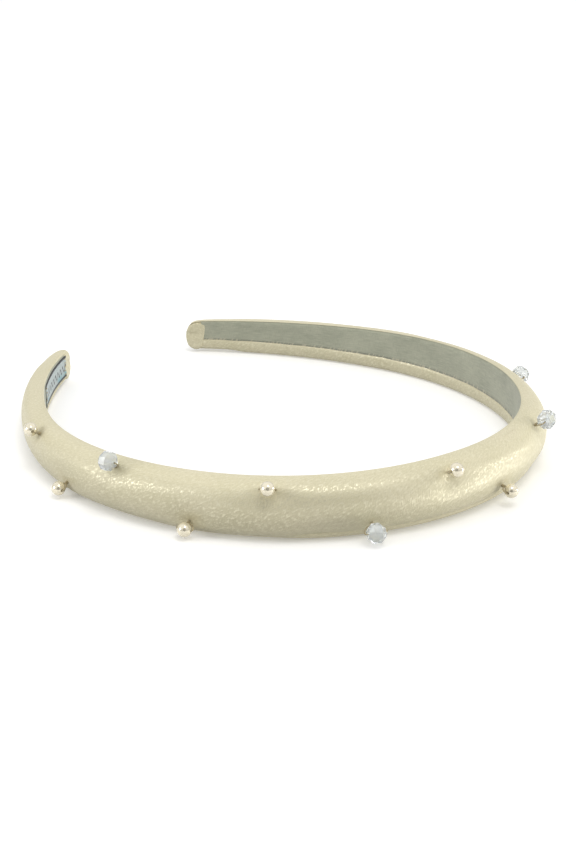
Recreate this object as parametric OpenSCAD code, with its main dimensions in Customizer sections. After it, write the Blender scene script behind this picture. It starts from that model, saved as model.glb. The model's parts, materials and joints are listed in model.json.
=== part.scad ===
// Padded satin headband with pearls and faceted crystals sewn on by hand.
// It lies on its side: the hoop is in the XY plane with its crown towards -Y and its
// opening towards +Y. Z runs across the band, and the lower edge rests on Z = 0.
// s is the length along the inner face from the middle of the crown, u is the distance
// outwards from the inner face, and v is the height above the middle of the band's width.

/* [Hoop] */
// Radius of the inner face round the crown
crown_r = 60; // [55:0.5:65]
// Angle of the crown arc on each side of the middle
crown_a = 56; // [50:1:60]
// Radius of the inner face along each side
side_r = 71.5; // [66:0.5:80]
// Angle of each side arc
side_a = 56; // [50:1:60]
// Radius of the inner face at each end
end_r = 130; // [110:1:160]
// Angle of each end arc
end_a = 27.5; // [20:0.5:30]
// Gap between the two halves, at the line where the hoop springs open
flex_gap = 0.3; // [0.2:0.05:0.6]

/* [Padded band] */
// Width of the band at the crown
crown_w = 16.6; // [15:0.1:18]
// Width of the band at its ends
end_w = 10.2; // [9:0.1:12]
// How late the band narrows: 1 is a straight taper, more keeps it wide for longer
taper = 1.4; // [1:0.1:2]
// Thickness of the padded band at the crown
crown_t = 6.7; // [6:0.1:9]
// Thickness of the padded band at its ends
end_t = 5; // [4.5:0.1:6]
// Length over which each end rounds off
end_round = 4.8; // [4:0.1:6]
// How far out from the inner face the band is widest
edge_u = 1; // [0.95:0.05:1.5]

/* [Layers] */
// Thickness of the satin
satin_t = 0.35; // [0.25:0.05:0.4]
// Thickness of the lining ribbon
lining_t = 0.5; // [0.3:0.05:0.5]
// Share of the band's width that the lining covers
lining_share = 0.69; // [0.6:0.01:0.72]
// Shift of the lining towards the upper edge, as a share of the band's width
lining_shift = 0.1; // [0:0.01:0.12]
// Further shift at the right end
right_rise = 0.16; // [0:0.01:0.2]
// Shift back at the left end
left_fall = 0.06; // [0:0.01:0.08]
// Thickness of the plastic spring hoop
core_t = 1.6; // [1.2:0.1:1.6]
// Share of the band's width that the spring hoop takes
core_share = 0.7; // [0.6:0.01:0.72]

/* [Label] */
// Length of the label on the left leg
label_l = 30; // [15:1:40]
// Width of the label
label_w = 6.4; // [5:0.1:6.6]
// Thickness of the label
label_t = 0.2; // [0.15:0.05:0.3]

/* [Beads] */
// Diameter of a pearl
pearl_d = 3.6; // [3:0.1:4]
// Diameter of a crystal over its facets
crystal_d = 4.9; // [4:0.1:5]
// Length of a crystal along its hole
crystal_l = 4.3; // [3.5:0.1:4.5]
// Number of facets round a crystal
crystal_n = 8; // [6:1:10]
// Gap between the satin and a bead
bead_gap = 0.9; // [0.8:0.05:1.2]
// Diameter of the sewing thread
thread_d = 0.45; // [0.3:0.05:0.5]
// Clearance round the thread in a bead's hole
thread_clear = 0.08; // [0.05:0.01:0.1]

/* [Hidden] */
crown_l = crown_r * crown_a * PI / 180;
side_l = side_r * side_a * PI / 180;
end_l = end_r * end_a * PI / 180;
half_l = crown_l + side_l + end_l;
ring_sag = 0.07;                    // a swept shell's flats cut this far inside its curve
satin_u = lining_t + ring_sag + 0.03; // the turned-in satin lies just under the lining
core_u = satin_u + satin_t + 0.03;  // the spring hoop lies just under the satin
inner_end = 2.2;                    // the spring hoop and foam stop this far from each end
fold_l = 5;                         // length of the satin fold on the inside of each end
ring_step = 5;                      // spacing of the rings of a swept shell
end_rings = 6;                      // extra rings where each end rounds off
dome_sides = 14;                    // sides of the padded dome
arc_lap = 0.3;                      // overlap that joins two arcs, in degrees
arc_let = 0.01;                     // each arc is this much inside the one it joins
end_share = 0.35;                   // share of the width that is left at the very end
top_margin = 0.8;                   // least satin left showing above the lining
core_margin = 1.6;                  // least foam left beside the spring hoop at the ends
trim_steps = 36;                    // straight steps along a trimmed strip's edge
lining_clear = 0.3;                 // gap between the lining's edges and the rolled satin
turned_share = 0.3;                 // share of the lining's width with satin turned in under it
bore_d = thread_d + 2 * thread_clear;
centre_y = 8.15;                    // the middle of the overall size, from the crown's centre
satin_color = "#dfd8b4";
lining_color = "#a6a890";

// Each bead: place along the band (left is negative), angle round the padded face
// (0 is the middle of the band and 90 its upper edge), and what it is.
BEADS = [
    [-117, 39, "pearl"],
    [-100.5, -28, "pearl"],
    [-83.5, 50, "crystal"],
    [-63, -31, "pearl"],
    [-45, 43, "pearl"],
    [-22.5, -27, "crystal"],
    [-3, 40, "pearl"],
    [14, -22, "pearl"],
    [35.5, 42, "crystal"],
    [66, -28, "pearl"],
    [81, 14, "crystal"],
    [99, -28, "pearl"],
    [117, -28, "pearl"]
];

// ---- the line of the hoop: three tangent arcs on each side of the crown ----

// Direction of travel at s, as an angle from +X
function heading(s) =
    s < crown_l ? s / crown_r * 180 / PI :
    s < crown_l + side_l ? crown_a + (s - crown_l) / side_r * 180 / PI :
    crown_a + side_a + (s - crown_l - side_l) / end_r * 180 / PI;

// Outward direction at a heading
function outward(a) = [sin(a), -cos(a)];

side_centre = (crown_r - side_r) * outward(crown_a);
end_centre = side_centre + (side_r - end_r) * outward(crown_a + side_a);

// Point at s along the right-hand side, u outwards from the inner face
function spot(s, u) =
    s < crown_l ? (crown_r + u) * outward(heading(s)) :
    s < crown_l + side_l ? side_centre + (side_r + u) * outward(heading(s)) :
    end_centre + (end_r + u) * outward(heading(s));

// ---- the band's width and thickness along the hoop ----

function width(s) = crown_w + (end_w - crown_w) * pow(s / half_l, taper);
function thick(s) = end_t + (crown_t - end_t) * (1 - pow(s / half_l, 3));

// Share of the full width and thickness left where an end rounds off
function round_off(s) =
    let (q = max(0, s - half_l + end_round) / end_round)
    q >= 1 ? end_share : max(end_share, sqrt(1 - q * q));

function half_w(s) = width(s) / 2 * round_off(s);
function full_t(s) = thick(s) * (0.3 + 0.7 * round_off(s));

// Edges of the lining, as heights above the middle of the band
function shift(side, s) =
    lining_shift + (side < 0 ? -left_fall : right_rise) * s / half_l;
function widest_lining(s) = half_w(s) - top_margin * round_off(s);
function under_fold(s) = s > half_l - fold_l + 0.1;
function lining_low(side, s) =
    under_fold(s) ? -widest_lining(s) :
    max(width(s) * (shift(side, s) - lining_share / 2), -widest_lining(s));
function lining_high(side, s) =
    under_fold(s) ? widest_lining(s) :
    min(width(s) * (shift(side, s) + lining_share / 2), widest_lining(s));

// Half the width of the spring hoop, which narrows where the ends round off
function core_half(s) = min(core_share * width(s) / 2, half_w(s) - core_margin);

// ---- sections of the band, as lists of [u, v] ----

// The domed outside, from the lower edge to the upper one
function dome(h, t, inset) =
    [for (k = [0 : dome_sides])
        let (a = -90 + 180 * k / dome_sides)
        [edge_u + (t - edge_u - inset) * cos(a), (h - inset) * sin(a)]];

// A rolled edge on the inside, from height v0 near the lining to the band's edge at v1
function roll(v0, v1, u0) =
    [for (a = [0 : 30 : 60]) [u0 + (edge_u - u0) * (1 - cos(a)), v0 + (v1 - v0) * sin(a)]];

function reversed(list) = [for (k = [len(list) - 1 : -1 : 0]) list[k]];

// Satin: a strip wrapped round the band, its edges turned in under the lining. The first
// half of the list is its outside and the second half its inside, taken backwards.
function satin_section(side, s) =
    let (
        h = half_w(s),
        t = full_t(s),
        low = lining_low(side, s),
        high = lining_high(side, s),
        turned = turned_share * (high - low)
    )
    concat(
        satin_path(low, high, turned, h, t, 0, 0, satin_u),
        reversed(satin_path(low, high, turned, h, t, satin_t, satin_u + satin_t,
            satin_u + satin_t))
    );

// One face of the satin: from under the lining, round the band, and back under it
function satin_path(low, high, turned, h, t, inset, roll_u, flat_u) =
    concat(
        [[flat_u, low + turned], [flat_u, low + 0.1]],
        roll(low - 0.15, inset - h, roll_u),
        dome(h, t, inset),
        reversed(roll(high + 0.15, h - inset, roll_u)),
        [[flat_u, high - 0.1], [flat_u, high - turned]]
    );

// Foam: the inside of the dome, notched for the spring hoop
function foam_section(s) =
    let (
        h = half_w(s),
        notch = core_half(s) + 0.2,
        back = core_u + core_t + ring_sag + 0.05,
        skin = dome(h, full_t(s), satin_t + 0.05)
    )
    concat(
        [[back, -notch], [edge_u, -notch]],
        skin,
        [[edge_u, notch], [back, notch]]
    );

// ---- building helpers ----

module on_side(side) {
    if (side < 0)
        mirror([1, 0, 0]) children();
    else
        children();
}

// Places along the band where a swept shell has a ring
function rings(stop) =
    let (
        start = flex_gap / 2,
        straight = min(stop, half_l - end_round),
        n = ceil((straight - start) / ring_step)
    )
    concat(
        [for (k = [0 : n]) start + (straight - start) * k / n],
        stop <= straight ? [] :
        [for (k = [1 : end_rings])
            straight + (stop - straight) * sin(90 * k / end_rings)]
    );

// Joins one section at each ring into a closed solid. cap is the faces that close one
// section, as lists of places in it.
module sweep(stations, sections, cap) {
    n = len(sections[0]);
    m = len(stations);
    points = [for (i = [0 : m - 1]) for (p = sections[i])
        let (xy = spot(stations[i], p[0]))
        [xy[0], xy[1], width(stations[i]) / 2 + p[1]]];
    sides = [for (i = [0 : m - 2]) for (j = [0 : n - 1])
        let (a = i * n + j, b = i * n + (j + 1) % n)
        for (f = [[a, a + n, b], [b, a + n, b + n]]) f];
    last = [for (f = cap) [for (j = reversed(f)) (m - 1) * n + j]];
    polyhedron(points, concat(cap, sides, last));
}

// Faces that close a section of n points in one piece
function plain_cap(n) = [[for (j = [0 : n - 1]) j]];

// Faces that close a strip's section, whose second half runs back along the first
function strip_cap(n) =
    [for (j = [0 : n / 2 - 2]) for (f = [
        [j, j + 1, n - 1 - j],
        [j + 1, n - 2 - j, n - 1 - j]]) f];

// One arc of a flat strip, standing on Z = 0
module arc_strip(centre, r, a0, a1, u, t)
    translate(centre)
        rotate_extrude(angle = a1 - a0, start = a0 - 90, $fn = 360)
            translate([r + u, 0])
                square([t, crown_w]);

// A strip that follows the hoop from one place to another, u to u + t outwards
module hoop_strip(stop, u, t) {
    start_a = asin(flex_gap / 2 / crown_r);
    side_end = crown_a + side_a;
    arc_strip([0, 0, 0], crown_r, start_a, crown_a + arc_lap, u, t);
    arc_strip(concat(side_centre, 0), side_r, crown_a, side_end + arc_lap,
        u + arc_let, t - 2 * arc_let);
    arc_strip(concat(end_centre, 0), end_r, side_end, heading(stop),
        u + 2 * arc_let, t - 4 * arc_let);
}

// Side view that trims a strip u outwards between two edges given as [s, low z, high z]
module trim(edges, u) {
    far = 2 * crown_r;
    y = [for (e = edges) spot(e[0], u)[1]];
    low = [for (i = [0 : len(edges) - 1]) [y[i], edges[i][1]]];
    high = [for (i = [len(edges) - 1 : -1 : 0]) [y[i], edges[i][2]]];
    ends = [[-far, edges[0][2]], [-far, edges[0][1]]];
    translate([-1, 0, 0])
        rotate([90, 0, 90])
            linear_extrude(far)
                polygon(concat(ends, low, [[far, low[len(low) - 1][1]],
                    [far, high[0][1]]], high));
}

// The frame at the end of the right leg: X runs off the end, -Y outwards, Z up
module at_end()
    translate(concat(spot(half_l, 0), end_w / 2))
        rotate([0, 0, heading(half_l)])
            children();

// ---- the band ----

module core(side)
    color("whitesmoke")
        on_side(side)
            intersection() {
                hoop_strip(half_l - inner_end, core_u, core_t);
                trim([for (k = [0 : trim_steps])
                    let (s = half_l * k / trim_steps, mid = width(s) / 2)
                    [s, mid - core_half(s), mid + core_half(s)]],
                    core_u + core_t / 2);
            }

module foam(side)
    color("lightyellow")
        on_side(side) {
            stations = rings(half_l - inner_end);
            sections = [for (s = stations) foam_section(s)];
            sweep(stations, sections, plain_cap(len(sections[0])));
        }

module cover(side)
    color(satin_color)
        on_side(side) {
            stations = rings(half_l);
            sections = [for (s = stations) satin_section(side, s)];
            sweep(stations, sections, strip_cap(len(sections[0])));
        }

module lining(side)
    color(lining_color)
        on_side(side)
            intersection() {
                hoop_strip(half_l - fold_l, 0, lining_t);
                trim([for (k = [0 : trim_steps])
                    let (s = (half_l - fold_l) * k / trim_steps, mid = width(s) / 2)
                    [s, mid + lining_low(side, s) + lining_clear,
                        mid + lining_high(side, s) - lining_clear]],
                    lining_t / 2);
            }

// Satin folded over the end of a leg and glued down on the inside
module end_fold(side) {
    flap_r = end_w / 2 - top_margin - 0.35;
    neck = widest_lining(half_l) - 0.3;
    lip_t = 0.4;
    color(satin_color)
        on_side(side)
            at_end() {
                rotate([90, 0, 0])
                    linear_extrude(lining_t - 0.1) {
                        intersection() {
                            translate([-end_round, 0])
                                circle(flap_r, $fn = 64);
                            translate([0.1 - fold_l, -flap_r])
                                square([fold_l, 2 * flap_r]);
                        }
                        translate([-end_round, -neck])
                            square([end_round + lip_t, 2 * neck]);
                    }
                translate([0.05, -0.55 * end_t, -neck])
                    cube([lip_t, 0.55 * end_t, 2 * neck]);
            }
}

// Woven label on the lining of the left leg
module label() {
    low = half_l - fold_l - label_l;
    mid = width(low + label_l / 2) / 2 + 0.4;
    color("#cfd6dc")
        on_side(-1)
            translate(concat(end_centre, mid - label_w / 2))
                rotate_extrude(angle = heading(low + label_l) - heading(low),
                    start = heading(low) - 90, $fn = 360)
                    translate([end_r - label_t - 0.02, 0])
                        square([label_t, label_w]);
}

// ---- the beads and their threads ----

function bead_r(kind) = (kind == "pearl" ? pearl_d : crystal_d) / 2;

// Direction in which a bead stands off the padded face, as an angle above the horizontal
function lean(s, q) = atan2(sin(q) / half_w(s), cos(q) / (thick(s) - edge_u));

// Distance from a bead's centre to the satin
function stand_off(kind) = bead_r(kind) + bead_gap;

// The frame of a bead: X along its hole and along the band, Z away from the satin
module at_bead(bead) {
    s = abs(bead[0]);
    q = bead[1];
    off = stand_off(bead[2]);
    u = edge_u + (thick(s) - edge_u) * cos(q) + off * cos(lean(s, q));
    v = half_w(s) * sin(q) + off * sin(lean(s, q));
    on_side(sign(bead[0]))
        translate(concat(spot(s, u), width(s) / 2 + v))
            rotate([0, 0, heading(s)])
                rotate([90 - lean(s, q), 0, 0])
                    children();
}

module hole(l)
    cylinder(d = bore_d, h = l + 2, center = true, $fn = 32);

module pearl()
    color("ivory")
        rotate([0, 90, 0])
            difference() {
                sphere(d = pearl_d, $fn = 64);
                hole(pearl_d);
            }

// Rings of a crystal: [distance along the hole, radius, turn in facets]
CRYSTAL = [
    [-crystal_l / 2, 0.26 * crystal_d, 0.5],
    [-0.22 * crystal_l, crystal_d / 2, 0],
    [0.22 * crystal_l, crystal_d / 2, 0],
    [crystal_l / 2, 0.26 * crystal_d, 0.5]
];

// Clear glass: flat facets round the girdle, triangles down to a flat at each hole
module crystal() {
    n = crystal_n;
    points = [for (ring = CRYSTAL) for (k = [0 : n - 1])
        let (a = 360 * (k + ring[2]) / n)
        [ring[0], ring[1] * cos(a), ring[1] * sin(a)]];
    ends = [[for (k = [0 : n - 1]) k], [for (k = [n - 1 : -1 : 0]) 3 * n + k]];
    first = [for (k = [0 : n - 1]) for (f = [
        [k, n + k, n + (k + 1) % n],
        [k, n + (k + 1) % n, (k + 1) % n]]) f];
    girdle = [for (k = [0 : n - 1])
        [n + k, 2 * n + k, 2 * n + (k + 1) % n, n + (k + 1) % n]];
    last = [for (k = [0 : n - 1]) for (f = [
        [2 * n + k, 3 * n + k, 2 * n + (k + 1) % n],
        [3 * n + k, 3 * n + (k + 1) % n, 2 * n + (k + 1) % n]]) f];
    color("azure", 0.6)
        difference() {
            polyhedron(points, [for (f = concat(ends, first, girdle, last)) reversed(f)]);
            rotate([0, 90, 0])
                hole(crystal_l);
        }
}

// A loop through the bead, round under it, and a short shank down to the satin
module thread(kind) {
    loop_r = bead_r(kind) + 0.1 + thread_d / 2;
    shank = stand_off(kind) - loop_r - 0.03;
    color("#c9c39c") {
        rotate([0, 90, 0])
            cylinder(d = thread_d, h = 2 * loop_r, center = true, $fn = 24);
        rotate([-90, 0, 0])
            rotate_extrude(angle = 180, $fn = 96)
                translate([loop_r, 0])
                    circle(d = thread_d, $fn = 24);
        for (x = [-loop_r, loop_r])
            translate([x, 0, 0])
                sphere(d = thread_d, $fn = 24);
        translate([0, 0, -loop_r - shank])
            cylinder(d = 1.4 * thread_d, h = shank + 0.1, $fn = 24);
    }
}

module bead(k)
    at_bead(BEADS[k])
        if (BEADS[k][2] == "pearl")
            pearl();
        else
            crystal();

module bead_thread(k)
    at_bead(BEADS[k])
        thread(BEADS[k][2]);

// Puts the origin under the middle of the headband's overall size
module placed()
    translate([0, -centre_y, 0])
        children();

placed() core(-1);  // core_left
placed() core(1);  // core_right
placed() foam(-1);  // foam_left
placed() foam(1);  // foam_right
placed() cover(-1);  // cover_left
placed() cover(1);  // cover_right
placed() lining(-1);  // lining_left
placed() lining(1);  // lining_right
placed() end_fold(-1);  // end_fold_left
placed() end_fold(1);  // end_fold_right
placed() label();
for (k = [0 : len(BEADS) - 1])
    placed() bead(k);
for (k = [0 : len(BEADS) - 1])
    placed() bead_thread(k);
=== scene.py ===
# %% [markdown]
# # A padded satin headband with sewn-on beads
# This script dresses a working model of a headband. The model's solids already have the
# right size and place, and they already move: the hoop springs open, and every bead can
# turn on its thread. Here each soft or shiny piece gets the form and finish of the real
# one. Everything is in metres, and the headband lies on its lower edge with its crown
# towards -Y and its opening towards +Y.

import json
import math

import bmesh
import bpy
from mathutils import Matrix, Vector

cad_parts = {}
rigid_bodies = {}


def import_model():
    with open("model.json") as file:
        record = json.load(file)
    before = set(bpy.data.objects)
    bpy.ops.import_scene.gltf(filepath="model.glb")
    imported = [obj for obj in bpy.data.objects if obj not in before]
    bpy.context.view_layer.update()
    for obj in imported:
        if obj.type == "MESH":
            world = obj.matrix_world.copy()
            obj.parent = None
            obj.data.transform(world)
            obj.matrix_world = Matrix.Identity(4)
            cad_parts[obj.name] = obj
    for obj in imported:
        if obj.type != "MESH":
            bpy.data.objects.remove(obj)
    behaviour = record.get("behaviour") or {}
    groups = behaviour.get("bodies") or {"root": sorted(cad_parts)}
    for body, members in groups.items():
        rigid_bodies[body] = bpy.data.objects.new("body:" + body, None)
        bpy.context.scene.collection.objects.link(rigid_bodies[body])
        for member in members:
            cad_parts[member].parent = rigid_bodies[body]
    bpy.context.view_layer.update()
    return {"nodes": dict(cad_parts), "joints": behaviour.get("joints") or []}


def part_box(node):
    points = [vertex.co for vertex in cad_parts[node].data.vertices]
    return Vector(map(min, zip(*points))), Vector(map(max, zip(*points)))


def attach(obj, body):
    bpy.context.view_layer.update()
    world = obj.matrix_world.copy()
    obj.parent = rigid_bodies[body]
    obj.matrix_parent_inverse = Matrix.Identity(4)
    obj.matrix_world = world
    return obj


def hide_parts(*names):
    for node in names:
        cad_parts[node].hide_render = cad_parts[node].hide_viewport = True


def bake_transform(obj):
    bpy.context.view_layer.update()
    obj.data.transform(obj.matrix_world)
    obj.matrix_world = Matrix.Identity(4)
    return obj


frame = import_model()
nodes = frame["nodes"]
mm = 0.001

# %% [markdown]
# ## The line of the hoop
# The inner face of a headband isn't one circle. It is tightest over the crown, a little
# flatter down each side, and nearly straight at the tips. Three arcs that meet smoothly
# on each side say all of that, and every long piece follows them. A place on the band is
# then a length from the middle of the crown, a distance out from the inner face, and a
# height above the middle of the band's width.

# %% Arcs of the hoop
crown_radius = 60 * mm
arcs = [
    (crown_radius, math.radians(56)),
    (71.5 * mm, math.radians(56)),
    (130 * mm, math.radians(27.5)),
]
half_length = sum(radius * angle for radius, angle in arcs)
ribbon_thick = 0.5 * mm
crown_centre = Vector((0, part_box("lining_right")[0][1] + crown_radius + ribbon_thick, 0))


def outward(heading):
    return Vector((math.sin(heading), -math.cos(heading), 0))


def on_hoop(length, out, height):
    """The place at a length round the hoop; lengths on the left half are negative."""
    rest, turned, centre = abs(length), 0.0, crown_centre.copy()
    for k, (radius, angle) in enumerate(arcs):
        if rest <= radius * angle or k == len(arcs) - 1:
            place = centre + (radius + out) * outward(turned + rest / radius)
            return Vector((math.copysign(place.x, length), place.y, height))
        rest -= radius * angle
        turned += angle
        centre += (radius - arcs[k + 1][0]) * outward(turned)


print(f"inner face from tip to tip: {2 * half_length / mm:.1f} mm")

# %% [markdown]
# ## How wide and how thick
# The band is widest and plumpest over the crown. It narrows towards the tips, slowly at
# first, and rounds off there. Its lower edge stays level all the way round.

# %% Width and thickness
crown_width, tip_width = 16.6 * mm, 10.2 * mm
crown_thick, tip_thick = 6.7 * mm, 5.0 * mm
edge_out = 1.0 * mm      # how far out the band is at its widest
tip_round = 4.8 * mm     # length over which a tip rounds off
tip_share = 0.22         # share of the size left at the very end
tip_bluntness = 2.7      # 2 would round the tip off as a plain ellipse


def width(length):
    return crown_width + (tip_width - crown_width) * abs(length / half_length) ** 1.4


def thick(length):
    return tip_thick + (crown_thick - tip_thick) * (1 - abs(length / half_length) ** 3)


def round_off(length):
    into_tip = max(0.0, abs(length) - half_length + tip_round) / tip_round
    left = max(0.0, 1 - into_tip ** tip_bluntness) ** (1 / tip_bluntness)
    return max(tip_share, left)


def bend_round_hoop(mesh_like):
    """A straight piece lies along X with its outside towards -Y; this wraps it round."""
    for v in mesh_like.verts if hasattr(mesh_like, "verts") else mesh_like.vertices:
        v.co = on_hoop(v.co.x, -v.co.y, width(v.co.x) / 2 + v.co.z)


print(f"band {crown_width / mm:.1f} mm wide at the crown, {tip_width / mm:.1f} at the tips")

# %% [markdown]
# ## Straight first, then bent
# Each long piece starts as it would on the workbench: a flat grid, cut to length. The
# grid is rolled or shaped into the band's section, and only then bent round the hoop.
# Made this way, the flat grid's own coordinates are the cloth's coordinates, so the weave
# runs true along the band and never stretches.

# %% Helpers for cloth-like pieces
scene = bpy.context.scene
cloth_unit = 10 * mm     # one unit of a cloth's own coordinates


def flat_cloth(along, across, length, girth, name):
    """A grid lying along X, with its place in the cloth kept as its own coordinates."""
    bm = bmesh.new()
    bmesh.ops.create_grid(bm, x_segments=along, y_segments=across, size=0.5)
    own = bm.loops.layers.uv.new(name)
    for v in bm.verts:
        v.co.x *= length
        v.co.y += 0.5
    for face in bm.faces:
        for loop in face.loops:
            loop[own].uv = (loop.vert.co.x / cloth_unit, loop.vert.co.y * girth / cloth_unit)
    return bm


def make_piece(name, bm, finish, smooth=True):
    """Turns a bmesh into an object with its finish."""
    mesh = bpy.data.meshes.new(name)
    bm.to_mesh(mesh)
    bm.free()
    piece = bpy.data.objects.new(name, mesh)
    scene.collection.objects.link(piece)
    mesh.materials.append(finish)
    for face in mesh.polygons:
        face.use_smooth = smooth
    return piece


def subdivide(piece, levels):
    mod = piece.modifiers.new("smooth", "SUBSURF")
    mod.levels = mod.render_levels = levels


def bend_with_hoop(piece):
    """The long pieces cross the crown; this only bakes a piece's placement into its points."""
    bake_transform(piece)


print("helpers ready")

# %% [markdown]
# ## Reading the beads from the model
# Each bead turns about its thread, so the model's joints say where every bead's centre is
# and which way its hole runs. The thread below it shows which way is down to the satin.

# %% Where the beads are
def bead_facts(joint):
    name = joint["name"].replace("_spin", "")
    number = name.split("_")[1]
    centre, hole = Vector(joint["pos_m"]), Vector(joint["axis"]).normalized()
    corners = [v.co for v in nodes["thread_" + number].data.vertices]
    down = sum(corners, Vector()) / len(corners) - centre
    away = -(down - down.dot(hole) * hole).normalized()
    return {"name": name, "number": number, "kind": name.split("_")[0], "centre": centre,
            "hole": hole, "away": away, "body": joint["child"], "half": joint["parent"]}


beads = [bead_facts(j) for j in frame["joints"] if j["name"].endswith("_spin")]
pearl_radius = 1.8 * mm
crystal_radius = 2.45 * mm
bead_gap = 0.9 * mm


def radius_of(bead):
    return pearl_radius if bead["kind"] == "pearl" else crystal_radius


def in_straight_band(place):
    """Undoes the bend: where a place would be on the straight band."""
    near = min((k * 0.25 * mm for k in range(-760, 761)),
               key=lambda s: (on_hoop(s, 4 * mm, place.z) - place).length)
    out = (on_hoop(near, 0, place.z) - place).length
    return Vector((near, -out, place.z - width(near) / 2))


for bead in beads:
    foot = bead["centre"] - (radius_of(bead) + bead_gap) * bead["away"]
    bead["stitch"] = in_straight_band(foot)
print(len(beads), "beads:", ", ".join(b["name"] for b in beads))

# %% [markdown]
# ## Satin
# Satin shines because long warp threads float on its face. Close up it shows fine short
# glints where threads catch the light, in slanting rows because the strip is cut on the
# bias. Colour, roughness and bump all read the cloth's own coordinates, so
# the weave wraps round the padding as real cloth does. The glints are smoother and a
# little metallic, and anisotropy along the band draws the shine out sideways. Where they
# lie the colour is also painted paler, which is a painted highlight.

# %% Nodes for every finish
def start_finish(name, **values):
    """A new material with its shader's own sockets set."""
    finish = bpy.data.materials.new(name)
    finish.use_nodes = True
    tree = finish.node_tree
    shader = tree.nodes["Principled BSDF"]
    for socket, value in values.items():
        shader.inputs[socket.replace("_", " ")].default_value = value
    return finish, tree, shader


def add_node(tree, kind, inputs=None, **settings):
    node = tree.nodes.new("ShaderNode" + kind)
    for key, value in settings.items():
        setattr(node, key, value)
    for socket, value in (inputs or {}).items():
        if isinstance(value, bpy.types.NodeSocket):
            tree.links.new(value, node.inputs[socket])
        else:
            node.inputs[socket].default_value = value
    return node


def cloth_place(tree, own, turn=0.0, scale=(1, 1, 1)):
    """The cloth's own coordinates, turned first and then scaled."""
    uv = add_node(tree, "UVMap", uv_map=own)
    return add_node(tree, "Mapping", {"Vector": uv.outputs["UV"],
                                      "Rotation": (0, 0, math.radians(turn)),
                                      "Scale": [1 / x for x in scale]},
                    vector_type="TEXTURE").outputs["Vector"]


def grain(tree, place, scale, detail=2.0, rough=0.5):
    return add_node(tree, "TexNoise", {"Vector": place, "Scale": scale, "Detail": detail,
                                       "Roughness": rough}).outputs["Fac"]


def ramp(tree, fac, low, high, start=0.0, stop=1.0):
    """Maps a stretch of a pattern to a range of values."""
    return add_node(tree, "MapRange", {"Value": fac, "From Min": low, "From Max": high,
                                       "To Min": start, "To Max": stop}).outputs["Result"]


def blend_colours(tree, fac, first, second, way="MIX"):
    mix = add_node(tree, "Mix", data_type="RGBA", blend_type=way)
    for place, value in ((0, fac), (6, first), (7, second)):
        if isinstance(value, bpy.types.NodeSocket):
            tree.links.new(value, mix.inputs[place])
        else:
            mix.inputs[place].default_value = value
    return mix.outputs[2]


def maths(tree, way, first, second):
    node = add_node(tree, "Math", operation=way)
    for k, value in enumerate((first, second)):
        if isinstance(value, bpy.types.NodeSocket):
            tree.links.new(value, node.inputs[k])
        else:
            node.inputs[k].default_value = value
    return node.outputs[0]


def add_bump(tree, shader, height, strength, distance, under=None):
    inputs = {"Height": height, "Strength": strength, "Distance": distance}
    if under:
        inputs["Normal"] = under
    bump = add_node(tree, "Bump", inputs)
    tree.links.new(bump.outputs["Normal"], shader.inputs["Normal"])
    return bump.outputs["Normal"]


def colour(red, green, blue):
    """A colour given as it is seen, 0 to 255, turned to light."""
    def light(x):
        x /= 255
        return x / 12.92 if x <= 0.04045 else ((x + 0.055) / 1.055) ** 2.4
    return (light(red), light(green), light(blue), 1)


print("node helpers ready")

# %% Satin finish
def satin_finish(name, own):
    finish, tree, shader = start_finish(
        name, Roughness=0.42, Anisotropic=0.55, Sheen_Weight=0.15, Sheen_Roughness=0.4,
        Specular_IOR_Level=0.5)
    shader.inputs["Sheen Tint"].default_value = colour(255, 250, 225)
    grain_way = add_node(tree, "Tangent", direction_type="UV_MAP", uv_map=own)
    tree.links.new(grain_way.outputs["Tangent"], shader.inputs["Tangent"])
    picks = grain(tree, cloth_place(tree, own, -12, (34, 10, 1)), 1.0, 1.0, 0.5)
    rows = grain(tree, cloth_place(tree, own, 28, (9, 24, 1)), 1.0, 1.0, 0.5)
    warp = grain(tree, cloth_place(tree, own, 0, (4, 60, 1)), 1.0, 1.0, 0.5)
    clouds = grain(tree, cloth_place(tree, own, 0, (0.7, 1.1, 1)), 1.0, 2.0, 0.5)
    float_threads_and_painted_glint = ramp(tree, maths(tree, "MULTIPLY", picks, rows), 0.24, 0.36)
    base = blend_colours(tree, ramp(tree, clouds, 0.3, 0.7),
                         colour(212, 205, 172), colour(222, 214, 184))
    base = blend_colours(tree, ramp(tree, picks, 0.38, 0.62, 0.0, 0.5),
                         base, colour(196, 189, 154))
    base = blend_colours(tree, ramp(tree, warp, 0.45, 0.75, 0.0, 0.15),
                         base, colour(196, 187, 154))
    # painted highlight: the colour turns paler where the float threads glint
    base = blend_colours(tree, maths(tree, "MULTIPLY", float_threads_and_painted_glint, 0.5), base,
                         colour(240, 234, 208))
    tree.links.new(base, shader.inputs["Base Color"])
    tree.links.new(ramp(tree, float_threads_and_painted_glint, 0.0, 1.0, 0.46, 0.30), shader.inputs["Roughness"])
    tree.links.new(ramp(tree, float_threads_and_painted_glint, 0.0, 1.0, 0.06, 0.36), shader.inputs["Metallic"])
    height = maths(tree, "ADD", picks, maths(tree, "MULTIPLY", rows, 0.25))
    height = maths(tree, "ADD", height, maths(tree, "MULTIPLY", warp, 0.15))
    add_bump(tree, shader, height, 0.75, 0.10 * mm)
    return finish


satin = satin_finish("champagne_satin", "satin_cloth")
print("made", satin.name)

# %% [markdown]
# ## The padded cover
# A strip of satin is pulled round a foam core and glued shut on the inside. It reads as a
# plump tube, flat on its inner face, with rolled edges. A grid is rolled up into that
# section. Then a cloth simulation blows the tube up gently from inside: the inner face
# and the tips are held, and so is a small spot under each bead, pulled inwards by the
# thread, so the satin dimples there as sewn padding does. What the simulation gives is
# held back near the rolled edges and evened out, because left alone it creases there.
# The band is bent afterwards.

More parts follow.
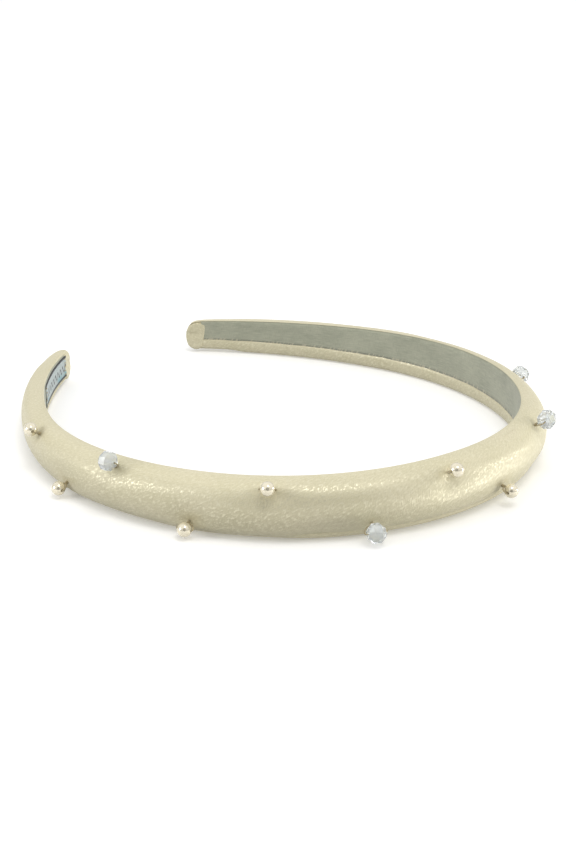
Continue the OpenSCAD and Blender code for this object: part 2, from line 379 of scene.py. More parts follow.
# %% Section of the cover
inner_flat = 0.50 * mm   # the satin's inner face lies just under the lining
lip_out = 0.08 * mm      # the folded edges stand a little proud of the lining
roll_points, flat_points = 6, 5
dome_turns = ([-90, -84, -78, -73] + [-70 + 2.5 * k for k in range(13)]
              + [-36 + 7 * k for k in range(19)])   # closer together along the seam
seam_turn = -52.5        # the seam runs round the band at this angle
ribbon_share, ribbon_shift = 0.69, 0.10
right_rise, left_fall = 0.16, 0.06   # the ribbon was glued a little askew
edge_margin = 0.32 * mm
bare_tip, bare_fade = 13 * mm, 6 * mm   # near each tip there is less padding
welt_reach = 46 * mm     # the seam under the lower edge shows this far from the middle


def ribbon_edges(length):
    """Lower and upper edge of the lining, as heights above the middle of the band."""
    along = length / half_length
    shift = ribbon_shift + (right_rise * along ** 1.6 if length > 0 else left_fall * along)
    half = width(length) / 2
    low = width(length) * (shift - ribbon_share / 2)
    high = width(length) * (shift + ribbon_share / 2)
    return max(low, edge_margin - half), min(high, half - edge_margin)


def ease(x):
    x = min(1.0, max(0.0, x))
    return x * x * (3 - 2 * x)


def seam_groove(length, turn):
    """Share by which the satin dips along the seam just above its lower edge."""
    near = 1 - ease((abs(length) - 0.7 * welt_reach) / (0.3 * welt_reach))
    return 0.055 * near * (math.exp(-((turn - seam_turn) / 2.6) ** 2)
                           - 0.4 * math.exp(-((turn - seam_turn + 8) / 4) ** 2))


def cover_section(length, inset):
    """Points (out, height) from the lower edge, up over the dome and down inside."""
    share = round_off(length)
    padded = ease((half_length - abs(length) - bare_tip) / bare_fade)
    half = width(length) / 2 * share - inset
    below = half + (padded - 1) * 0.55 * mm
    plump = (thick(length) + 0.4 * mm * (padded - 1)) * (0.3 + 0.7 * share) - edge_out - inset
    low, high = (edge * share for edge in ribbon_edges(length))
    points = []
    for turn in dome_turns:
        a, dip = math.radians(turn), 1 - seam_groove(length, turn)
        points.append((edge_out + plump * dip * math.cos(a),
                       (half if turn > 0 else below) * dip * math.sin(a)))

    def rolled(edge, rim):
        steps = [math.pi / 2 * k / (roll_points - 1) for k in range(roll_points - 1)]
        return [(inner_flat, edge)] + [
            (lip_out + (edge_out - lip_out) * (1 - math.cos(a)),
             edge + (rim - edge) * (0.05 + 0.95 * math.sin(a))) for a in steps]

    points += list(reversed(rolled(high, half)))
    points += [(inner_flat, high + (low - high) * (k + 1) / (flat_points + 1))
               for k in range(flat_points)]
    return points + rolled(low, -below)


# %% Roll the cover up
cover_steps = 300
cover_inset = 0.25 * mm   # it starts slim, because the simulation swells it


def roll_up(along, section, inset, girth, name):
    """A flat cloth rolled into a closed tube with the given section."""
    count = len(section(0, inset))
    bm = flat_cloth(along, count, 2 * half_length, girth, name)
    for v in bm.verts:
        turn = round(v.co.y * count) % count
        out, height = section(v.co.x, inset)[turn]
        v.co.y, v.co.z = -out, height
    bmesh.ops.remove_doubles(bm, verts=bm.verts, dist=0.001 * mm)
    bmesh.ops.holes_fill(bm, edges=bm.edges, sides=count)
    bmesh.ops.recalc_face_normals(bm, faces=bm.faces)
    return bm


cover_bm = roll_up(cover_steps, cover_section, cover_inset, 45 * mm, "satin_cloth")
cover = make_piece("satin_cover", cover_bm, satin)
print("cover:", len(cover.data.vertices), "points before it is padded")

# %% Blow the cover up like a cushion
sim_scale = 50           # small cloth behaves well when it is simulated large
sim_frames = 20
stitch_pull = 0.38 * mm
stitch_spot = 0.8 * mm
most_swell = 0.8 * mm
evening_rounds = 5
blow_pressure = 6.0


def held_share(place):
    """1 where the satin is glued or sewn down, 0 where it is free."""
    share = round_off(place.x)
    low, high = ribbon_edges(place.x)
    glued = -place.y < edge_out * 0.8 and low - 0.2 * mm < place.z < high + 0.2 * mm
    tip = share < 0.75
    out = (-place.y - edge_out) / (thick(place.x) - edge_out)
    turn = math.degrees(math.atan2(place.z / (width(place.x) / 2), out))
    sewn = abs(turn - seam_turn) < 1.5 and abs(place.x) < 0.8 * welt_reach
    return 1.0 if glued or tip or sewn else 0.0


def sew_down(mesh):
    """Pulls the satin in at each stitch and lists the points that are held."""
    held = {v.index for v in mesh.vertices if held_share(v.co)}
    for bead in beads:
        stitch = bead["stitch"]
        for v in mesh.vertices:
            far = (v.co - stitch).length
            if far < stitch_spot + 0.4 * mm and v.index not in held:
                inward = Vector((0, -thick(stitch.x) * 0.45, 0)) - Vector((0, v.co.y, v.co.z))
                v.co += inward.normalized() * stitch_pull
                held.add(v.index)
    return held


def even_out(mesh, steps, rounds):
    """Averages each point's move with its neighbours', so no sharp crease is left."""
    near = [[] for v in mesh.vertices]
    for edge in mesh.edges:
        a, b = edge.vertices
        near[a].append(b)
        near[b].append(a)
    for k in range(rounds):
        steps = [(step + sum((steps[n] for n in near[i]), Vector())) / (1 + len(near[i]))
                 for i, step in enumerate(steps)]
    return steps


def pad_out(piece, pressure):
    """Simulates the piece as blown-up cloth and keeps the shape it settles into."""
    mesh = piece.data
    held = sew_down(mesh)
    start = [v.co.copy() for v in mesh.vertices]
    for v in mesh.vertices:
        v.co *= sim_scale
    group = piece.vertex_groups.new(name="held")
    group.add(list(held), 1.0, "REPLACE")
    cloth = piece.modifiers.new("cloth", "CLOTH")
    wants = cloth.settings
    wants.quality = 6
    wants.mass = 0.15
    wants.tension_stiffness = wants.compression_stiffness = 12
    wants.shear_stiffness = 4
    wants.bending_stiffness = 0.3
    wants.use_pressure = True
    wants.uniform_pressure_force = pressure
    wants.vertex_group_mass = "held"
    wants.effector_weights.gravity = 0
    cloth.collision_settings.use_collision = False
    cloth.point_cache.frame_start, cloth.point_cache.frame_end = 1, sim_frames
    for step in range(1, sim_frames + 1):
        scene.frame_set(step)
    settled = piece.evaluated_get(bpy.context.evaluated_depsgraph_get()).to_mesh()
    ends = [v.co / sim_scale for v in settled.vertices]
    piece.modifiers.remove(cloth)
    piece.vertex_groups.remove(group)
    scene.frame_set(1)
    steps = []
    for was, now in zip(start, ends):
        risen = (-was.y - edge_out) / (thick(was.x) - edge_out)
        step = (now - was) * ease(0.10 + 2.5 * risen)   # the rolled edges stay slim
        steps.append(step * min(1.0, most_swell / max(step.length, 1e-9)))
    steps = even_out(mesh, steps, evening_rounds)
    for v, was, step in zip(mesh.vertices, start, steps):
        v.co = was + step
    return max(step.length for step in steps)


print(f"cover: swelled by up to {pad_out(cover, blow_pressure) / mm:.2f} mm")

# %% Bend the cover and hide the model's cover parts
bend_round_hoop(cover.data)
subdivide(cover, 1)
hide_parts("cover_left", "cover_right")
bend_with_hoop(cover)
print("cover bent round the hoop")

# %% [markdown]
# ## What is inside the band
# A springy plastic strip gives the hoop its shape, and a D-shaped strip of foam gives the
# cover its dome. Neither shows, but both are there, because a model that is cut open or
# seen through should hold what the real one holds.

# %% Foam and plastic finishes
def foam_finish():
    finish, tree, shader = start_finish("cream_foam", Roughness=0.95,
                                        Specular_IOR_Level=0.2)
    cells = add_node(tree, "TexVoronoi", {
        "Vector": cloth_place(tree, "foam_cloth"), "Scale": 22.0}).outputs["Distance"]
    tree.links.new(blend_colours(tree, ramp(tree, cells, 0.0, 0.7), colour(226, 212, 160),
                                 colour(244, 236, 202)), shader.inputs["Base Color"])
    add_bump(tree, shader, cells, 0.6, 0.2 * mm)
    return finish


def plastic_finish():
    finish, tree, shader = start_finish("white_plastic", Roughness=0.4)
    flow = grain(tree, cloth_place(tree, "core_cloth", 0, (0.4, 6, 1)), 1.0, 3.0)
    tree.links.new(blend_colours(tree, flow, colour(226, 226, 220), colour(240, 240, 236)),
                   shader.inputs["Base Color"])
    tree.links.new(ramp(tree, flow, 0.3, 0.7, 0.34, 0.46), shader.inputs["Roughness"])
    add_bump(tree, shader, flow, 0.15, 0.05 * mm)
    return finish


# %% Foam strip and plastic strip
core_out, core_thick, core_share = 0.91 * mm, 1.6 * mm, 0.70
inner_stop = 2.2 * mm    # both stop this far from each tip


def foam_section(length, inset):
    """A D with a flat back where the plastic strip lies."""
    share = round_off(length)
    half = width(length) / 2 * share - inset
    plump = thick(length) * (0.3 + 0.7 * share) - edge_out - inset
    back = core_out + core_thick + 0.05 * mm
    turns = [math.pi * (k / 15 - 0.5) for k in range(16)]
    points = [(max(back, edge_out + plump * math.cos(a)), half * math.sin(a)) for a in turns]
    return points + [(back, half * 0.95 * (0.6 - 0.4 * k)) for k in range(4)]


def core_section(length, inset):
    """A flat strip with rounded long edges."""
    half, mid = core_share * width(length) / 2, core_out + core_thick / 2
    flat = half - core_thick / 2
    turns = [math.pi * k / 6 for k in range(7)]
    top = [(mid + core_thick / 2 * math.cos(a), flat + core_thick / 2 * math.sin(a))
           for a in turns]
    low = [(mid - core_thick / 2 * math.cos(a), -flat - core_thick / 2 * math.sin(a))
           for a in turns]
    return top + low


def inside_strip(name, section, inset, finish, along, own):
    bm = roll_up(along, section, inset, 30 * mm, own)
    keep = (half_length - inner_stop) / half_length
    bmesh.ops.scale(bm, vec=(keep, 1, 1), verts=bm.verts)
    bend_round_hoop(bm)
    bmesh.ops.recalc_face_normals(bm, faces=bm.faces)
    return make_piece(name, bm, finish)


foam = inside_strip("foam_pad", foam_section, 0.75 * mm, foam_finish(), 120, "foam_cloth")
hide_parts("foam_left", "foam_right")
bend_with_hoop(foam)
core = inside_strip("spring_hoop", core_section, 0, plastic_finish(), 120, "core_cloth")
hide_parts("core_left", "core_right")
bend_with_hoop(core)
print("foam and spring hoop are inside the cover")

# %% [markdown]
# ## Lining ribbon
# A dull ribbon hides the glued edges of the satin on the inside. It is a flat strip, so
# it is a flat grid shaped to the band's taper, with its edges pressed down and a slight
# ripple where the glue holds unevenly. A Solidify modifier gives it its thickness. Close
# up it shows a fine ribbed weave, and pale frayed specks along its lower edge.

# %% Ribbon finish
def ribbon_finish():
    finish, tree, shader = start_finish("grey_green_ribbon", Roughness=0.75,
                                        Sheen_Weight=0.35, Sheen_Roughness=0.6,
                                        Specular_IOR_Level=0.3)
    ribs = add_node(tree, "TexWave", {
        "Vector": cloth_place(tree, "ribbon_cloth", 12, (1, 1, 1)), "Scale": 9.0,
        "Distortion": 1.2, "Detail": 2.0, "Detail Scale": 3.0},
        wave_type="BANDS", bands_direction="X").outputs["Fac"]
    yarn = grain(tree, cloth_place(tree, "ribbon_cloth", 0, (3, 40, 1)), 1.0, 3.0, 0.6)
    cross = grain(tree, cloth_place(tree, "ribbon_cloth", 0, (42, 5, 1)), 1.0, 2.0, 0.5)
    clouds = grain(tree, cloth_place(tree, "ribbon_cloth"), 0.9, 3.0, 0.6)
    whole = add_node(tree, "UVMap", uv_map="ribbon_cloth").outputs["UV"]
    across = add_node(tree, "SeparateXYZ", {"Vector": whole}).outputs["Y"]
    specks = grain(tree, cloth_place(tree, "ribbon_cloth", -20, (14, 2, 1)), 1.0, 1.0)
    fray = maths(tree, "MULTIPLY", ramp(tree, across, 1.02, 1.12), ramp(tree, specks, 0.5, 0.6))
    base = blend_colours(tree, ramp(tree, clouds, 0.3, 0.7),
                         colour(154, 157, 137), colour(180, 182, 160))
    base = blend_colours(tree, ramp(tree, yarn, 0.4, 0.7, 0.0, 0.6), base,
                         colour(204, 204, 182))
    base = blend_colours(tree, ramp(tree, cross, 0.5, 0.75, 0.0, 0.5), base,
                         colour(148, 150, 131))
    base = blend_colours(tree, fray, base, colour(222, 218, 192))
    tree.links.new(base, shader.inputs["Base Color"])
    height = maths(tree, "ADD", maths(tree, "MULTIPLY", ribs, 0.5),
                   maths(tree, "ADD", yarn, cross))
    add_bump(tree, shader, height, 0.5, 0.10 * mm)
    return finish


# %% Cut and lay the ribbon
ribbon_stop = 5.0 * mm   # it ends under the satin fold at each tip
ribbon_face = 0.28 * mm  # it lies between the folded edges of the satin
ribbon_steps, ribbon_rows = 320, 10
ribbon_length = 2 * (half_length - ribbon_stop)
ribbon_bm = flat_cloth(ribbon_steps, ribbon_rows, ribbon_length, 11.5 * mm, "ribbon_cloth")
for v in ribbon_bm.verts:
    low, high = ribbon_edges(v.co.x)
    across = v.co.y
    near_edge = abs(2 * across - 1) ** 6
    ripple = 0.05 * mm * math.sin(v.co.x / (2.3 * mm)) * math.sin(v.co.x / (7.1 * mm))
    stray = 0.08 * mm * math.sin(v.co.x / (1.9 * mm)) * math.sin(v.co.x / (5.3 * mm))
    high -= 0.08 * mm    # clear of the satin's rolled edge
    v.co.z = high + (low - high) * across + stray * (2 * across - 1) ** 5
    v.co.y = -(ribbon_face + 0.06 * mm * near_edge + ripple * (1 - near_edge))
ribbon_area = sum(face.calc_area() for face in ribbon_bm.faces)
bend_round_hoop(ribbon_bm)
ribbon = make_piece("lining_ribbon", ribbon_bm, ribbon_finish())
wall = ribbon.modifiers.new("thickness", "SOLIDIFY")
wall.thickness = 0.22 * mm
wall.offset = 0
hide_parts("lining_left", "lining_right")
bend_with_hoop(ribbon)

# %% [markdown]
# ## Satin folded over each tip
# The last of the satin folds over the tip and is glued down on the inside, over the end
# of the ribbon. It makes a small plump tongue with a rounded edge and a tuck along its
# middle. A grid pressed into a rounded outline, puffed up, does it.

# %% Folded tips
fold_satin = satin_finish("tip_satin", "fold_cloth")
fold_reach = 6.6 * mm
fold_half = 4.35 * mm


def folded_tip(name, side):
    bm = bmesh.new()
    bmesh.ops.create_grid(bm, x_segments=28, y_segments=24, size=1.0)
    own = bm.loops.layers.uv.new("fold_cloth")
    for face in bm.faces:
        for loop in face.loops:
            loop[own].uv = (loop.vert.co.x * 0.4, loop.vert.co.y * 0.4)
    edges = [e for e in bm.edges if e.is_boundary]
    skirt = bmesh.ops.extrude_edge_only(bm, edges=edges)
    rim = {v for v in skirt["geom"] if isinstance(v, bmesh.types.BMVert)}
    for v in bm.verts:
        x, y = v.co.x, v.co.y
        blunt = 0.42 if x > 0 else 0.28
        along = x * math.sqrt(1 - blunt * y * y) * (1 if x > 0 else 0.75 + 0.25 * y)
        across = y * math.sqrt(1 - blunt * x * x)
        puff = max(0.0, (1 - abs(x) ** 5) * (1 - abs(y) ** 6))
        tuck = math.exp(-((across - 0.15) / 0.25) ** 2) * ease((along + 0.5) / 1.2)
        pleat = 0.05 * math.sin(9 * across + 1.5 * along) * puff
        out = (0.30 - 0.46 * puff ** 0.5 + 0.40 * tuck * puff + pleat) * mm
        centre = half_length - fold_reach / 2 - 0.15 * mm
        v.co.x = side * (centre + along * fold_reach / 2)
        v.co.z = across * fold_half * (1 - 0.10 * max(0.0, along) ** 2)
        v.co.y = -(0.75 * mm if v in rim else out)
    bend_round_hoop(bm)
    bmesh.ops.recalc_face_normals(bm, faces=bm.faces)
    inside = [f for f in bm.faces if f.calc_center_median().y > 0]
    facing = sum(f.normal.dot(Vector((-side, 0, 0))) for f in inside)
    if facing < 0:
        bmesh.ops.reverse_faces(bm, faces=bm.faces)
    piece = make_piece(name, bm, fold_satin)
    subdivide(piece, 1)
    return piece


for side, half in ((-1, "left"), (1, "right")):
    fold = folded_tip("tip_fold_" + half, side)
    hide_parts("end_fold_" + half)
    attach(fold, half + "_half")
print("tips folded")

# %% [markdown]
# ## Label
# A small woven label is stitched on the ribbon near the left tip. Its lettering is left
# out: a border, a wavering line and a patch of colour stand in for it. It is a thin strip
# with slightly lifted ends, held by a row of small stitches at each end.

# %% Label finish
label_long, label_wide = 30 * mm, 6.4 * mm


def label_finish():
    finish, tree, shader = start_finish("woven_label", Roughness=0.6, Sheen_Weight=0.2,
                                        Specular_IOR_Level=0.35)
    uv = add_node(tree, "UVMap", uv_map="label_cloth").outputs["UV"]
    parts = add_node(tree, "SeparateXYZ", {"Vector": uv})
    along, across = parts.outputs["X"], parts.outputs["Y"]
    yarn = grain(tree, cloth_place(tree, "label_cloth", 0, (8, 60, 1)), 1.0, 2.0)
    picks = grain(tree, cloth_place(tree, "label_cloth", 0, (70, 8, 1)), 1.0, 2.0)
    base = blend_colours(tree, ramp(tree, yarn, 0.3, 0.7), colour(158, 172, 174),
                         colour(194, 202, 200))
    wide = label_wide / cloth_unit
    off_middle = maths(tree, "ABSOLUTE", maths(tree, "SUBTRACT", across, wide / 2), 0.0)
    border = maths(tree, "GREATER_THAN", off_middle, wide / 2 - 0.07)
    wander = add_node(tree, "TexWave", {"Vector": uv, "Scale": 1.1, "Distortion": 2.5,
                                        "Detail": 1.0},
                      wave_type="BANDS", bands_direction="X").outputs["Fac"]
    line_at = maths(tree, "ADD", wide * 0.42, maths(tree, "MULTIPLY", wander, wide * 0.26))
    off_line = maths(tree, "ABSOLUTE", maths(tree, "SUBTRACT", across, line_at), 0.0)
    zigzag = maths(tree, "LESS_THAN", off_line, 0.035)
    stain = ramp(tree, grain(tree, cloth_place(tree, "label_cloth"), 1.1, 1.0), 0.50, 0.62)
    low_side = ramp(tree, across, wide * 0.55, wide * 0.85)
    patch = maths(tree, "MULTIPLY", stain, low_side)
    base = blend_colours(tree, maths(tree, "MULTIPLY", patch, 0.75), base,
                         colour(96, 160, 170))
    base = blend_colours(tree, zigzag, base, colour(60, 64, 66))
    base = blend_colours(tree, border, base, colour(34, 38, 40))
    tree.links.new(base, shader.inputs["Base Color"])
    add_bump(tree, shader, maths(tree, "ADD", yarn, picks), 0.4, 0.05 * mm)
    return finish


# %% Label and its stitches
label_bm = flat_cloth(60, 12, label_long, label_wide, "label_cloth")
label_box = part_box("label")
label_middle = half_length - 5 * mm - label_long / 2
label_raise = (label_box[0][2] + label_box[1][2]) / 2 - width(label_middle) / 2
for v in label_bm.verts:
    from_end = abs(v.co.x) / (label_long / 2)
    lift = 0.10 * mm * max(0.0, from_end - 0.94) / 0.06
    wave = 0.03 * mm * math.sin(v.co.x / (3.1 * mm)) * math.sin(8 * v.co.y)
    v.co.z = label_raise + label_wide * (0.5 - v.co.y)
    v.co.y = -ribbon_face + 0.24 * mm + lift + wave
    v.co.x -= label_middle
bend_round_hoop(label_bm)
label = make_piece("woven_label", label_bm, label_finish())
wall = label.modifiers.new("thickness", "SOLIDIFY")
wall.thickness = 0.18 * mm
wall.offset = 0
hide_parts("label")
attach(label, "left_half")
print("label laid")

# %% [markdown]
# ## Thread
# Sewing thread is two plies twisted together. A curve with a round bevel follows a path
# and winds round it, once for each ply, half a turn apart. The same helper makes the loop
# that holds a bead, the turns wound round its shank, and the stitches on the label.

# %% Thread finish and twisted plies
def thread_finish():
    finish, tree, shader = start_finish("tan_thread", Roughness=0.55, Sheen_Weight=0.3,
                                        Specular_IOR_Level=0.4)
    place = add_node(tree, "TexCoord").outputs["Object"]
    fibre = grain(tree, place, 9000.0, 3.0, 0.6)
    dye = grain(tree, place, 500.0, 2.0)
    base = blend_colours(tree, ramp(tree, dye, 0.3, 0.7), colour(150, 136, 100),
                         colour(178, 164, 126))
    base = blend_colours(tree, ramp(tree, fibre, 0.4, 0.7, 0.0, 0.5), base,
                         colour(206, 194, 160))
    tree.links.new(base, shader.inputs["Base Color"])
    add_bump(tree, shader, fibre, 0.4, 0.03 * mm)
    return finish


tan_thread = thread_finish()
ply_radius = 0.105 * mm
ply_pitch = 0.9 * mm


def twisted(name, paths, finish):
    """Two plies wound round each path, made one mesh."""
    curve = bpy.data.curves.new(name, "CURVE")
    curve.dimensions = "3D"
    curve.bevel_depth = ply_radius
    curve.bevel_resolution = 1
    curve.use_fill_caps = True
    for path in paths:
        for ply in (0, 1):
            spline = curve.splines.new("POLY")
            spline.points.add(len(path) - 1)
            run = 0.0
            for k, here in enumerate(path):
                ahead = path[min(k + 1, len(path) - 1)] - path[max(k - 1, 0)]
                ahead.normalize()
                side = ahead.orthogonal().normalized()
                side = Vector((0, 0, 1)).cross(ahead) if abs(ahead.z) < 0.9 else side
                side.normalize()
                run += (here - path[k - 1]).length if k else 0.0
                turn = 2 * math.pi * run / ply_pitch + math.pi * ply
                offset = Matrix.Rotation(turn, 3, ahead) @ side * ply_radius * 0.9
                spline.points[k].co = (*(here + offset), 1)
    made = bpy.data.objects.new(name + "_curve", curve)
    scene.collection.objects.link(made)
    mesh = bpy.data.meshes.new_from_object(made.evaluated_get(
        bpy.context.evaluated_depsgraph_get()))
    bpy.data.objects.remove(made)
    mesh.name = name
    piece = bpy.data.objects.new(name, mesh)
    scene.collection.objects.link(piece)
    mesh.materials.clear()
    mesh.materials.append(finish)
    for face in mesh.polygons:
        face.use_smooth = True
    return piece


# %% Sew each bead on
def bead_space(bead):
    """X along the hole, Z away from the satin."""
    x, z = bead["hole"], bead["away"]
    return Matrix.Translation(bead["centre"]) @ Matrix((x, z.cross(x), z)).transposed().to_4x4()


def loop_path(bead):
    """Up from the satin, through the bead and back down."""
    space, reach = bead_space(bead), radius_of(bead) + 0.32 * mm
    bend = 0.45 * mm
    foot = -(radius_of(bead) + bead_gap + stitch_pull)
    under = [Vector((reach * math.sin(a), 0, -reach * math.cos(a)))
             for a in (math.radians(d) for d in range(2, 82, 4))]
    up = [Vector((0.12 * mm, 0, foot)), Vector((0.12 * mm, 0, -reach - 0.1 * mm))] + under
    over = [Vector((reach - bend * (1 - math.cos(a)), 0, -bend + bend * math.sin(a)))
            for a in (math.radians(d) for d in range(0, 91, 15))]
    half = up + over
    back = [Vector((-p.x, p.y, p.z)) for p in reversed(half)]
    return [space @ p for p in half + back]


def shank_path(bead):
    """Turns wound round the threads between the bead and the satin."""
    space, start = bead_space(bead), -(radius_of(bead) + 0.42 * mm)
    turns, points = 3, 12
    return [space @ Vector((0.30 * mm * math.cos(2 * math.pi * k / points),
                            0.30 * mm * math.sin(2 * math.pi * k / points),
                            start - 0.62 * mm * k / (turns * points)))
            for k in range(turns * points + 1)]


for bead in beads:
    thread = twisted("sewing_thread_" + bead["number"], [loop_path(bead), shank_path(bead)],
                     tan_thread)
    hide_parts("thread_" + bead["number"])
    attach(thread, bead["half"])
print("threads sewn")

# %% Stitches on the label
stitch_paths = []
for end in (-1, 1):
    for k in range(5):
        height = label_raise + label_wide * (k - 2) / 5.5
        stitch = []
        for t in range(7):
            arch = math.sin(math.pi * t / 6)
            length = -label_middle + end * (label_long / 2 - 0.9 * mm) + 0.55 * mm * (t - 3) / 3
            stitch.append(on_hoop(length, ribbon_face - 0.12 * mm - 0.32 * mm * arch,
                                  width(length) / 2 + height))
        stitch_paths.append(stitch)
label_stitches = twisted("label_stitches", stitch_paths, tan_thread)
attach(label_stitches, "left_half")
print(len(stitch_paths), "stitches on the label")

# %% [markdown]
# ## Pearls
# An imitation pearl is a glossy coated ball with a hole drilled through. Its outline, from
# one rim of the hole round to the other and back through the bore, is drawn as a few
# points and spun once round the hole. The coat shows a faint change of tint and fine
# darker specks.

# %% Pearl finish
def pearl_finish():
    finish, tree, shader = start_finish("ivory_pearl", Roughness=0.16, Coat_Weight=0.8,
                                        Coat_Roughness=0.04, Specular_IOR_Level=0.7,
                                        Metallic=0.5)
    place = add_node(tree, "TexCoord").outputs["Object"]
    bloom = grain(tree, place, 420.0, 2.0)
    speck = grain(tree, place, 2600.0, 3.0, 0.6)
    base = blend_colours(tree, ramp(tree, bloom, 0.35, 0.65), colour(244, 235, 210),
                         colour(234, 226, 202))
    base = blend_colours(tree, ramp(tree, speck, 0.55, 0.75, 0.0, 0.5), base,
                         colour(206, 196, 172))
    tree.links.new(base, shader.inputs["Base Color"])
    tree.links.new(ramp(tree, speck, 0.3, 0.8, 0.06, 0.16), shader.inputs["Roughness"])
    add_bump(tree, shader, bloom, 0.12, 0.08 * mm)
    return finish


ivory_pearl = pearl_finish()
bore_radius = 0.305 * mm


# %% Turn the pearls
def turned_pearl(bead):
    bm = bmesh.new()
    rim = math.asin(bore_radius / pearl_radius)
    lip = 0.08 * mm
    arc = [math.radians(8) + rim + (math.pi - 2 * rim - math.radians(16)) * k / 22
           for k in range(23)]
    outline = [(pearl_radius * math.cos(a), pearl_radius * math.sin(a)) for a in arc]
    end = pearl_radius * math.cos(rim)
    outline = ([(0, bore_radius), (end - lip, bore_radius), (end, bore_radius + lip * 0.6)]
               + outline + [(-end, bore_radius + lip * 0.6), (-end + lip, bore_radius)])
    points = [bm.verts.new((x, 0, r)) for x, r in outline]
    for a, b in zip(points, points[1:] + points[:1]):
        bm.edges.new((a, b))
    bmesh.ops.spin(bm, geom=bm.verts[:] + bm.edges[:], cent=(0, 0, 0), axis=(1, 0, 0),
                   angle=2 * math.pi, steps=32, use_merge=True)
    bmesh.ops.remove_doubles(bm, verts=bm.verts, dist=0.001 * mm)
    bmesh.ops.recalc_face_normals(bm, faces=bm.faces)
    bmesh.ops.transform(bm, matrix=bead_space(bead), verts=bm.verts)
    return make_piece(bead["name"] + "_bead", bm, ivory_pearl)


# %% [markdown]
# ## Crystals
# The glass beads are cut: eight flat facets round the girdle and eight triangles down to
# a small flat at each end of the hole. Rings of eight points are bridged, the edges get a
# tiny bevel that catches the light, and the faces stay flat. Clear glass bends light, so
# the finish is a real transmission shader with a faint cool tint.

# %% Crystal finish
def crystal_finish():
    finish, tree, shader = start_finish("clear_crystal", Roughness=0.08, IOR=1.45,
                                        Transmission_Weight=0.7, Coat_Weight=0.5,
                                        Coat_Roughness=0.03)
    place = add_node(tree, "TexCoord").outputs["Object"]
    haze = grain(tree, place, 600.0, 3.0, 0.6)
    base = blend_colours(tree, ramp(tree, haze, 0.3, 0.7), colour(234, 240, 242),
                         colour(250, 252, 251))
    tree.links.new(base, shader.inputs["Base Color"])
    tree.links.new(ramp(tree, haze, 0.4, 0.8, 0.04, 0.12), shader.inputs["Roughness"])
    return finish


clear_crystal = crystal_finish()
crystal_long = 4.3 * mm
crystal_rings = [(-0.5, 0.26, 0.5), (-0.22, 0.5, 0), (0.22, 0.5, 0), (0.5, 0.26, 0.5)]


# %% Cut the crystals
def ring_of(bm, count, radius, along, turn):
    made = bmesh.ops.create_circle(bm, segments=count, radius=radius)["verts"]
    spot = (Matrix.Translation((along, 0, 0)) @ Matrix.Rotation(turn, 4, "X")
            @ Matrix.Rotation(math.pi / 2, 4, "Y"))
    bmesh.ops.transform(bm, matrix=spot, verts=made)
    return list({e for v in made for e in v.link_edges})


def cut_crystal(bead):
    bm = bmesh.new()
    facets = 8
    rings = [ring_of(bm, facets, share * 2 * crystal_radius, at * crystal_long,
                     turn * 2 * math.pi / facets) for at, share, turn in crystal_rings]
    ends = [ring_of(bm, 16, bore_radius, at * crystal_long, 0) for at in (-0.5, 0.5)]
    loops = [ends[0]] + rings + [ends[1]]
    for a, b in zip(loops, loops[1:] + loops[:1]):
        bmesh.ops.bridge_loops(bm, edges=a + b)
    bmesh.ops.remove_doubles(bm, verts=bm.verts, dist=0.001 * mm)
    bmesh.ops.recalc_face_normals(bm, faces=bm.faces)
    sharp = [e for e in bm.edges if len(e.link_faces) == 2
             and e.calc_face_angle(0) > math.radians(12)
             and min(v.co.yz.length for v in e.verts) > 1.1 * mm]
    bmesh.ops.bevel(bm, geom=sharp, offset=0.05 * mm, offset_type="OFFSET", segments=1,
                    profile=0.5, affect="EDGES", material=-1)
    bmesh.ops.transform(bm, matrix=bead_space(bead), verts=bm.verts)
    return make_piece(bead["name"] + "_bead", bm, clear_crystal, smooth=False)


# %% Put every bead in place
for bead in beads:
    made = turned_pearl(bead) if bead["kind"] == "pearl" else cut_crystal(bead)
    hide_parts(bead["name"])
    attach(made, bead["body"])
print("beads:", sum(b["kind"] == "pearl" for b in beads), "pearls and",
      sum(b["kind"] == "crystal" for b in beads), "crystals")

# %% [markdown]
# ## Floor, light and camera
# The headband lies on a plain pale floor in a soft, bright studio. A large light above
# gives the satin its pale upper half. Two on the right give the sheen there: one just
# above the floor, and one that stands in for the light the floor throws back. A fill from
# the left reaches the inside of the far leg. The camera looks down on the band from the
# front left with a long lens, and its dark shape shows as a dot in each pearl. The floor
# glows faintly and casts no shadow, so it stays pale and lets the low light through.

# %% Floor
floor_reach = 30.0       # metres, so that its edge stays out of sight
floor_bm = bmesh.new()
bmesh.ops.create_grid(floor_bm, x_segments=1, y_segments=1, size=floor_reach)
floor_finish, _, floor_shader = start_finish("pale_floor", Roughness=0.9,
                                             Specular_IOR_Level=0.1,
                                             Emission_Strength=0.12)
floor_shader.inputs["Emission Color"].default_value = (1, 1, 1, 1)
floor_shader.inputs["Base Color"].default_value = (0.98, 0.98, 0.98, 1)
floor = make_piece("floor", floor_bm, floor_finish)


# %% Lights
def soft_light(name, place, target, size, power, tint=(1, 1, 1)):
    data = bpy.data.lights.new(name, "AREA")
    data.shape = "DISK"
    data.size = size
    data.energy = power
    data.color = tint
    lamp = bpy.data.objects.new(name, data)
    lamp.location = place
    lamp.rotation_euler = (Vector(target) - Vector(place)).to_track_quat("-Z", "Y").to_euler()
    scene.collection.objects.link(lamp)


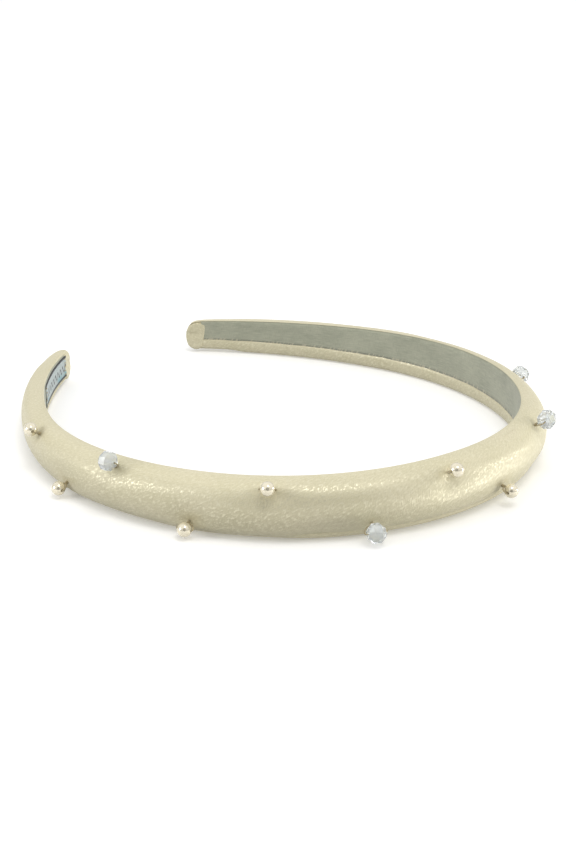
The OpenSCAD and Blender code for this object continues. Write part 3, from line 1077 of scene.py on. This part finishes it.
middle = (0, 0, 0.008)
soft_light("high_key", (-0.10, -0.45, 1.10), middle, 0.50, 2.6, (1, 0.99, 0.97))
soft_light("right_sheen", (0.78, -0.48, 0.10), middle, 0.20, 1.6, (1, 0.99, 0.96))
soft_light("low_sheen", (0.66, -0.62, -0.25), middle, 0.44, 3.6, (1, 0.99, 0.96))
soft_light("left_fill", (-0.95, 0.30, 0.30), middle, 0.50, 3.2)
floor.visible_diffuse = floor.visible_shadow = False
world = bpy.data.worlds.new("studio")
scene.world = world
world.use_nodes = True
sky = world.node_tree
way = add_node(sky, "SeparateXYZ", {"Vector": add_node(sky, "TexCoord").outputs["Generated"]})
glow = ramp(sky, way.outputs["Z"], -0.2, 0.6, 0.27, 0.92)
sky.links.new(glow, sky.nodes["Background"].inputs["Strength"])
sky.nodes["Background"].inputs["Color"].default_value = (1, 1, 1, 1)
scene.view_settings.view_transform = "Standard"

# %% Camera
aim = Vector((-7.42 * mm, -6.55 * mm + crown_centre.y, 7.0 * mm))
azimuth, elevation = math.radians(37.26), math.radians(20.95)
camera_far = 458.3 * mm
back = Vector((-math.sin(azimuth) * math.cos(elevation),
               -math.cos(azimuth) * math.cos(elevation), math.sin(elevation)))
lens = bpy.data.cameras.new("camera")
lens.lens = 72.13
lens.sensor_width = 36
lens.clip_start = 0.01
camera = bpy.data.objects.new("camera", lens)
camera.location = aim + camera_far * back
camera.rotation_euler = (-back).to_track_quat("-Z", "Y").to_euler()
scene.collection.objects.link(camera)
scene.camera = camera

dark_finish, _, dark_shader = start_finish("dark_camera_body", Roughness=0.9)
dark_shader.inputs["Base Color"].default_value = (0.01, 0.01, 0.01, 1)
body_radius, body_behind = 200 * mm, 30 * mm
body_bm = bmesh.new()
bmesh.ops.create_circle(body_bm, cap_ends=True, segments=32, radius=body_radius)
bmesh.ops.transform(body_bm, verts=body_bm.verts, matrix=Matrix.LocRotScale(
    aim + (camera_far + body_behind) * back, back.to_track_quat("Z", "Y"), None))
camera_body = make_piece("camera_body", body_bm, dark_finish)
camera_body.visible_camera = camera_body.visible_diffuse = False
camera_body.visible_transmission = camera_body.visible_shadow = False
print(f"camera {camera_far / mm:.0f} mm away, lens {lens.lens:.1f} mm")
